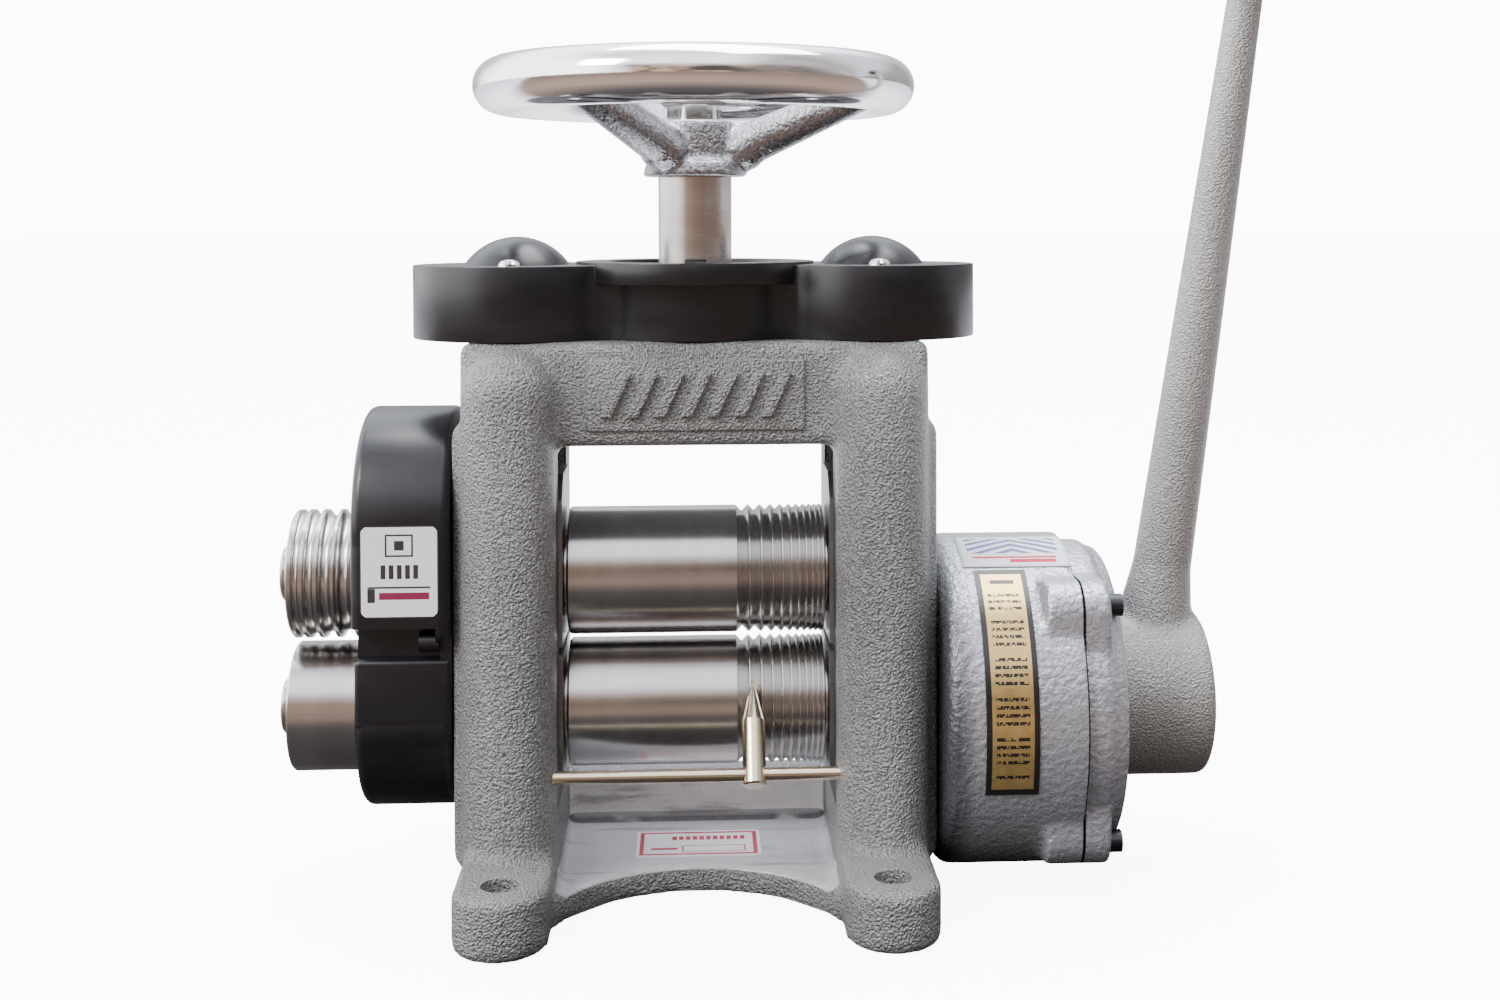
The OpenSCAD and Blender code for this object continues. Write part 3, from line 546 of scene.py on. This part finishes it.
# Finishes of the pieces that stay as their CAD nodes
for finish, names in (
    (roll_steel, ("upper_roll", "lower_roll", "upper_extension_roll", "lower_extension_roll", "crank_shaft")),
    (spindle, ("adjusting_shaft",)),
    (chrome, ("wheel_nut", "dial_disc", "cover_screws")),
    (black, ("left_dome_cap", "right_dome_cap")),
    (grip_black, ("crank_grip",)),
    (black_bolt, ("guard_bolts", "gearbox_screws", "crank_screw", "grip_bolt")),
    (machined, ("left_lower_block", "right_lower_block", "left_upper_block", "right_upper_block")),
    (gear_metal, ("upper_roll_gear", "lower_roll_gear", "ring_gear", "planet_carrier", "planet_pins",
                  "planet_gear_1", "planet_gear_2", "planet_gear_3", "centre_gear", "left_leadscrew",
                  "right_leadscrew", "left_screw_gear", "right_screw_gear", "left_return_springs",
                  "right_return_springs")),
    (bronze, ("left_lower_bush", "right_lower_bush", "left_upper_bush", "right_upper_bush", "left_screw_nut",
              "right_screw_nut", "shaft_bush", "crank_bush", "guide_sleeve")),
    (zinc, ("guide_bar", "guide_pin")),
    (guard_label_finish(), ("guard_label",)),
    (gold_plate_finish(), ("instruction_plate",)),
    (top_decal_finish(), ("top_decal",)),
    (serial_label_finish(), ("serial_label",)),
):
    finish.use(*names)


def frame_casting():
    """Side frames with round columns, bridge, arched floor, back wall and feet, in one."""
    parts = []
    for s in (-1, 1):
        x0, x1 = sorted((s * 53, s * 87.6))
        parts.append(cube("wall", (x0, -COLUMN_Y, 0), (x1, COLUMN_Y, 210.5)))
        x0, x1 = sorted((s * 80, s * 92))
        parts.append(cube("pad", (x0, -40, 12), (x1, 40, 182), 7, 4))
        for t in (-1, 1):
            x, y = s * COLUMN_X, t * COLUMN_Y
            parts.append(rod("column", (x, y, 0.2), (x, y, COLUMN_TOP), COLUMN_R))
            parts.append(ball("column_top", (x, y, COLUMN_TOP), COLUMN_R))
            x, y = s * FOOT_X, t * FOOT_Y
            parts.append(rod("foot", (x, y, 0), (x, y, 22), 17.2, round_by=1.5))
            x0, x1 = sorted((s * 53, s * 87))
            y0, y1 = sorted((t * 44, t * 80))
            parts.append(cube("foot_web", (x0, y0, 0), (x1, y1, 21.8)))
    floor = cube("floor", (-54, -68, 0), (54, 68, 10))
    cut(floor, rod("front_arch", (0, -ARCH_Y, -5), (0, -ARCH_Y, 20), ARCH_R, sides=160),
        rod("back_arch", (0, ARCH_Y, -5), (0, ARCH_Y, 20), ARCH_R, sides=160))
    parts.append(floor)
    parts.append(cube("back_wall", (-54, 28, 0), (54, 41, 30)))
    parts.append(cube("bridge", (-88.3, -42, 172.5), (88.3, 42, 211.7), 3.5, 3))
    o = cast(join("frame_body", parts), 1.9, 5)
    for s in (-1, 1):
        x0, x1 = sorted((s * 50, s * 94))
        cut(o, cube("window", (x0, -23, 40), (x1, 23, 168)))
        for t in (-1, 1):
            x, y = s * FOOT_X, t * FOOT_Y
            cut(o, rod("bolt_hole", (x, y, -2), (x, y, 26), 7))
    return done(o, "frame", paint, "frame_casting", angle=45)


def lean_top(o, level, shift):
    """Slides what is above a level along X, so an upright bar slants."""
    pick(o)
    for v in o.data.vertices:
        v.select = v.co.z > level * MM
    for group in (o.data.edges, o.data.polygons):
        for part in group:
            part.select = all(o.data.vertices[i].select for i in part.vertices)
    bpy.ops.object.mode_set(mode="EDIT")
    bpy.ops.transform.translate(value=(shift * 2 * MM, 0, 0))
    bpy.ops.mesh.select_all(action="SELECT")
    bpy.ops.transform.translate(value=(-shift * MM, 0, 0))
    bpy.ops.object.mode_set(mode="OBJECT")


def relief():
    """Plain raised panel on the bridge, with seven slanting bars."""
    panel = cube("relief_panel", (-41, -43.1, 178.5), (41, -41, 205.5))
    modify(panel, "BEVEL", width=1.1 * MM, segments=3)
    parts = [panel]
    for i in range(-3, 4):
        bar = cube("relief_bar", (i * 10 - 2.3, -44.9, 183.8), (i * 10 + 2.3, -42.5, 200.2))
        lean_top(bar, 192.1, 3.7)
        modify(bar, "BEVEL", width=0.8 * MM, segments=3)
        parts.append(bar)
    o = join("bridge_relief", parts)
    return done(o, "frame", paint, angle=50, slot="frame_paint")


def gearbox():
    """Drum with a square flange, and its lid; each is cut flat where they meet."""
    end = box_of["gearbox_housing"][1].x / MM
    body = rod("body", (92.3, 0, DRIVE_Z), (end + 5, 0, DRIVE_Z), 64.4,
               round_by=6, segments=5, sides=128)
    flange = cube("flange", (end - 13.8, *FLANGE_LOW), (end + 5, *FLANGE_HIGH))
    round_corners(flange, FLANGE_CORNER)
    o = cast(join("gearbox_body", [body, flange]), 1.4, 7)
    cut(o, cube("seam", (end - 0.05, -80, -20), (end + 20, 80, 150)),
        rod("cavity", (96, 0, DRIVE_Z), (end + 4, 0, DRIVE_Z), 60.5),
        rod("eye", (90, 0, DRIVE_Z), (98, 0, DRIVE_Z), 20))
    done(o, "frame", box_paint, "gearbox_housing", angle=45)
    plate = cube("plate", (end - 3, *FLANGE_LOW), (end + 10.9, *FLANGE_HIGH))
    round_corners(plate, FLANGE_CORNER)
    bulge = rod("bulge", (end - 3, 0, DRIVE_Z), (end + 10.9, 0, DRIVE_Z), 61.4,
                round_by=2, sides=128)
    disc = rod("disc", (end + 8, 0, DRIVE_Z), (end + 16.9, 0, DRIVE_Z), 59,
               round_by=3.5, segments=5, sides=128)
    o = cast(join("gearbox_lid", [plate, bulge, disc]), 1.3, 5)
    cut(o, cube("seam", (end - 20, -80, -20), (end + 0.5, 80, 150)),
        rod("shaft_hole", (end - 3, 0, DRIVE_Z), (end + 21, 0, DRIVE_Z), 15),
        rod("recess", (end - 3, 0, DRIVE_Z), (end + 5.1, 0, DRIVE_Z), 52.5))
    done(o, "frame", box_paint, "gearbox_cover", angle=45)


def round_corners(o, radius):
    """Rounds the four edges that run along X."""
    pick(o)
    bpy.ops.object.mode_set(mode="EDIT")
    bpy.ops.mesh.select_all(action="DESELECT")
    bpy.ops.mesh.select_mode(type="EDGE")
    bpy.ops.object.mode_set(mode="OBJECT")
    for e in o.data.edges:
        a, b = (o.data.vertices[i].co for i in e.vertices)
        e.select = abs(a.y - b.y) < 1e-6 and abs(a.z - b.z) < 1e-6
    bpy.ops.object.mode_set(mode="EDIT")
    bpy.ops.mesh.bevel(offset=radius * MM, segments=8)
    bpy.ops.object.mode_set(mode="OBJECT")


def crank():
    """Cast arm that leans away from the mill, with its hub and the boss for the grip."""
    hub_in = box_of["crank_arm"][0].x / MM
    hub_out = hub_in + 38.5
    lean = math.radians(8.3)

    def at(s):
        return (hub_in + 16.7 + s * math.sin(lean), 0, DRIVE_Z + s * math.cos(lean))

    hub = rod("hub", (hub_in + 0.2, 0, DRIVE_Z), (hub_out - 0.1, 0, DRIVE_Z), 32.3,
              round_by=2.5, segments=4, sides=128)
    arm = rod("arm", at(8), at(ARM_LENGTH - 2), 12.5, 6.9, sides=48)
    flare = rod("flare", at(20), at(56), 16.5, 11, sides=48)
    flare_low = rod("flare_low", at(14), at(38), 19, 13, sides=48)
    tip_x, _, tip_z = at(ARM_LENGTH)
    boss = rod("boss", (tip_x - 11.8, 0, tip_z), (tip_x + 11.8, 0, tip_z), 10.9,
               round_by=1.5, sides=64)
    o = cast(join("crank_casting", [hub, arm, flare, flare_low, boss]), 1.3, 14)
    cut(o, rod("bore", (hub_in - 3, 0, DRIVE_Z), (hub_out + 3, 0, DRIVE_Z), 11),
        rod("sink", (hub_out - 8.4, 0, DRIVE_Z), (hub_out + 3, 0, DRIVE_Z), 15.3),
        rod("pin_bore", (tip_x - 20, 0, tip_z), (tip_x + 20, 0, tip_z), 5))
    return done(o, "crank", arm_paint, "crank_arm", angle=45)


def wheel():
    """Polished rim on a rough three-spoked hub."""
    rest()
    bpy.ops.mesh.primitive_torus_add(major_segments=160, minor_segments=40, major_radius=76 * MM,
                                     minor_radius=10.9 * MM, location=(0, 0, RIM_Z * MM))
    done(keep("wheel_rim"), "wheel", chrome, "handwheel", angle=60)
    parts = [rod("hub_foot", (0, 0, 274.5), (0, 0, 281), 20.8, 19, round_by=1.2),
             rod("hub_neck", (0, 0, 276), (0, 0, 296.8), 16.2, 15.6, round_by=1.0)]
    for a in (110, 230, 350):
        c, s = math.cos(math.radians(a)), math.sin(math.radians(a))
        parts.append(rod("spoke", (9 * c, 9 * s, 282), (71 * c, 71 * s, 308.5), 9.2, 6.2, sides=40))
        parts.append(ball("spoke_root", (19 * c, 19 * s, 285), 9.5, (1, 1, 0.9)))
        parts.append(ball("spoke_end", (68 * c, 68 * s, 307.5), 8.2, (1, 1, 0.8)))
    o = cast(join("wheel_spider", parts), 1.0, 8)
    cut(o, rod("bore", (0, 0, 270), (0, 0, 300), 9))
    done(o, "wheel", cast_chrome, angle=50, slot="chrome")


def guard():
    """Black gear guard: a straight lower lobe with a ledge, under a wider round one."""
    outer, inner = -128.5, -92
    low_half, high_half, casing_half = 38.2, 45, 33.3
    ledge, high_z = 92.9, 139.5
    past_out, past_in = -135, -90
    floor_x = -125.6
    cavity_r, eye_r = 31.3, 15.2
    open_z, shut_z = 122.6, 115
    eye_low, eye_high = 115.6, 122
    lower = rod("lower_lobe", (inner, 0, DRIVE_Z), (outer, 0, DRIVE_Z), low_half,
                round_by=3.5, segments=6, sides=128)
    lower_sides = cube("lower_sides", (outer, -low_half, DRIVE_Z), (inner, low_half, ledge), 2.2, 5)
    cut(lower, cube("trim", (past_out, -60, ledge), (-91, 60, 130)))
    upper = rod("upper_lobe", (inner, 0, high_z), (outer, 0, high_z), high_half,
                round_by=3.5, segments=6, sides=128)
    sides = cube("upper_sides", (outer, -high_half, 100), (inner, high_half, high_z), 3.5, 6)
    cut(sides, cube("trim", (-140, -60, 90), (-97, 60, 106)))
    cut(upper, cube("trim", (-140, -60, 90), (-97, 60, 106)))
    casing = rod("casing", (inner, 0, DRIVE_Z), (outer + 1, 0, DRIVE_Z), casing_half, sides=96)
    casing_high = rod("casing_high", (inner, 0, UPPER_Z), (outer + 1, 0, UPPER_Z), casing_half, sides=96)
    casing_mid = cube("casing_mid", (outer + 1, -casing_half, DRIVE_Z), (inner, casing_half, UPPER_Z))
    strips = [cube("strip", (-96.3, y, 82), (inner, y + 8, 107)) for y in (-37.2, 29.2)]
    solids = [lower, lower_sides, sides, upper, casing, casing_high, casing_mid]
    o = unite("guard_shell", solids + strips)
    cut(o, rod("low_cavity", (floor_x, 0, DRIVE_Z), (past_in, 0, DRIVE_Z), cavity_r),
        rod("high_cavity", (floor_x, 0, shut_z), (past_in, 0, shut_z), cavity_r),
        rod("higher_cavity", (floor_x, 0, open_z), (past_in, 0, open_z), cavity_r),
        rod("low_eye", (past_out, 0, DRIVE_Z), (past_in, 0, DRIVE_Z), eye_r),
        rod("high_eye", (past_out, 0, eye_low), (past_in, 0, eye_low), eye_r),
        rod("higher_eye", (past_out, 0, eye_high), (past_in, 0, eye_high), eye_r),
        cube("eye_slot", (past_out, -eye_r, eye_low), (past_in, eye_r, eye_high)))
    return done(o, "frame", black, "gear_guard", angle=35)


frame_casting()
relief()
gearbox()
crank()
wheel()
guard()
done(bevelled_copy("top_cover", "cover_shell", 0.7), "frame", black, "top_cover", angle=35)

# ---------------------------------------------------------------- stage

def studio_floor():
    """Pale table; what the metal mirrors of it is duller: tan further out, with a painted shadow of the mill
    close round it.
    """
    rest()
    bpy.ops.mesh.primitive_plane_add(size=60, location=(0, 0, 0))
    plane = keep("studio_floor")
    f = Finish("pale_floor", roughness=0.7)
    mottle = f.noise(3, 2)
    f.set("Base Color", f.mix(mottle * 0.2, (0.86, 0.86, 0.87), (0.82, 0.82, 0.83)))
    glow = f.node("ShaderNodeEmission", {}, {"Color": (1, 1, 1, 1), "Strength": 9.0})
    lit = f.node("ShaderNodeAddShader", {}, {0: Wire(f, f.shader.outputs[0]), 1: glow})
    away = f.node("ShaderNodeVectorMath", {"operation": "LENGTH"}, {0: f.where}, out="Value")
    # What the metal mirrors: dark close to the mill as its painted shadow, tan further out, pale behind it
    bench_and_painted_shadow = f.mix(f.ramp(away, 0.22, 0.50), (0.040, 0.036, 0.035), (0.17, 0.120, 0.095))
    bench_and_painted_shadow = f.mix(f.ramp(f.y, 0.12, 0.30), bench_and_painted_shadow, (0.72, 0.72, 0.74))
    dull = f.node("ShaderNodeBsdfDiffuse", {}, {"Color": bench_and_painted_shadow})
    seen = f.node("ShaderNodeLightPath", out="Is Camera Ray")
    both = f.node("ShaderNodeMixShader", {}, {0: seen, 1: dull, 2: lit})
    f.tree.links.new(both.socket, f.tree.nodes["Material Output"].inputs["Surface"])
    f.use(plane)


def studio_world():
    """Plain white to look at; the metal mirrors a room with lamps, brighter on the left."""
    world = bpy.context.scene.world or bpy.data.worlds.new("studio")
    bpy.context.scene.world = world
    world.use_nodes = True
    tree = world.node_tree

    def node(kind, ins=None, out=0, **settings):
        n = tree.nodes.new(kind)
        for key, value in settings.items():
            setattr(n, key, value)
        for key, value in (ins or {}).items():
            if hasattr(value, "is_output"):
                tree.links.new(value, n.inputs[key])
            else:
                n.inputs[key].default_value = value
        return n.outputs[out]

    way = node("ShaderNodeTexCoord", out="Generated")
    split = [node("ShaderNodeSeparateXYZ", {0: way}, out=k) for k in range(3)]
    front = node("ShaderNodeMath", {0: split[1], 1: -1.0}, operation="MULTIPLY")
    arc = node("ShaderNodeMath", {0: split[2], 1: front}, operation="ARCTAN2")
    arc = node("ShaderNodeMath", {0: arc, 1: 1 / math.pi}, operation="MULTIPLY")
    sky = tree.nodes.new("ShaderNodeValToRGB")
    stops = ((0.0, 0.14, 0.13, 0.13), (0.06, 0.20, 0.20, 0.21), (0.14, 0.34, 0.34, 0.36),
             (0.20, 0.52, 0.52, 0.56), (0.34, 0.50, 0.50, 0.54), (0.43, 0.34, 0.35, 0.38),
             (0.52, 0.55, 0.58, 0.64),
             (0.64, 0.85, 0.90, 1.0), (0.76, 0.85, 0.90, 1.0), (0.86, 0.28, 0.28, 0.30),
             (1.0, 0.18, 0.18, 0.18))
    while len(sky.color_ramp.elements) < len(stops):
        sky.color_ramp.elements.new(0.5)
    for element, (at, *rgb) in zip(sky.color_ramp.elements, stops):
        element.position = at
        element.color = (*rgb, 1)
    tree.links.new(arc, sky.inputs[0])
    clutter = node("ShaderNodeTexNoise", {"Vector": way, "Scale": 3.0, "Detail": 3.0, "Roughness": 0.65})
    dark = node("ShaderNodeMapRange", {0: clutter, 1: 0.46, 2: 0.54, 3: 1.0, 4: 0.05})
    low = node("ShaderNodeMapRange", {0: split[2], 1: 0.56, 2: 0.34, 3: 0.0, 4: 1.0})
    ahead = node("ShaderNodeMapRange", {0: split[1], 1: -0.1, 2: -0.5, 3: 0.0, 4: 1.0})
    mask = node("ShaderNodeMath", {0: low, 1: ahead}, operation="MULTIPLY")
    tan = node("ShaderNodeMix", {0: dark, 6: (0.015, 0.014, 0.014, 1), 7: (0.20, 0.135, 0.10, 1)},
               out=2, data_type="RGBA")
    room = node("ShaderNodeMix", {0: mask, 6: sky.outputs[0], 7: tan}, out=2, data_type="RGBA")
    side = node("ShaderNodeMapRange", {0: split[0], 1: -0.50, 2: -0.82, 3: 0.0, 4: 1.0})
    around = node("ShaderNodeMix", {0: side, 6: room, 7: (0.98, 0.98, 0.98, 1)}, out=2, data_type="RGBA")
    right = node("ShaderNodeMapRange", {0: split[0], 1: 0.25, 2: 0.55, 3: 0.0, 4: 0.75})
    around = node("ShaderNodeMix", {0: right, 6: around, 7: (0.07, 0.06, 0.055, 1)}, out=2, data_type="RGBA")
    lamp = node("ShaderNodeBackground", {0: around, 1: 4.8})
    white = node("ShaderNodeBackground", {0: (1, 1, 1, 1), 1: 12.0})
    seen = node("ShaderNodeLightPath", out="Is Camera Ray")
    both = node("ShaderNodeMixShader", {0: seen, 1: lamp, 2: white})
    tree.links.new(both, tree.nodes["World Output"].inputs["Surface"])


studio_floor()
studio_world()


def softbox(name, place, aim, size, power):
    rest()
    bpy.ops.object.light_add(type="AREA", location=place)
    lamp = bpy.context.object
    lamp.name = lamp.data.name = name
    lamp.data.shape = "RECTANGLE"
    lamp.data.size, lamp.data.size_y = size
    lamp.data.energy = power
    lamp.rotation_euler = (Vector(aim) - Vector(place)).to_track_quat("-Z", "Y").to_euler()


softbox("key", (-0.9, -0.7, 1.1), (0, 0, 0.15), (0.45, 0.45), 14)
softbox("top", (0.15, 0.2, 1.5), (0, 0, 0.1), (1.1, 0.8), 30)

IMAGE_WIDTH = 1500
rest()
bpy.ops.object.camera_add(location=(-0.0013, -0.7295, 0.2588))
camera = bpy.context.object
camera.name = "studio_camera"
yaw, pitch, roll = 0.0534, 0.0237, 0.0024
aimed = Euler((math.pi / 2 - pitch, 0, -yaw)).to_matrix()
camera.rotation_euler = (aimed @ Matrix.Rotation(-roll, 3, "Z")).to_euler()
camera.data.sensor_width = 36
camera.data.lens = 1835.9 / IMAGE_WIDTH * 36
camera.data.shift_x = -40 / IMAGE_WIDTH
camera.data.shift_y = -240 / IMAGE_WIDTH
camera.data.clip_start = 0.02
bpy.context.scene.camera = camera
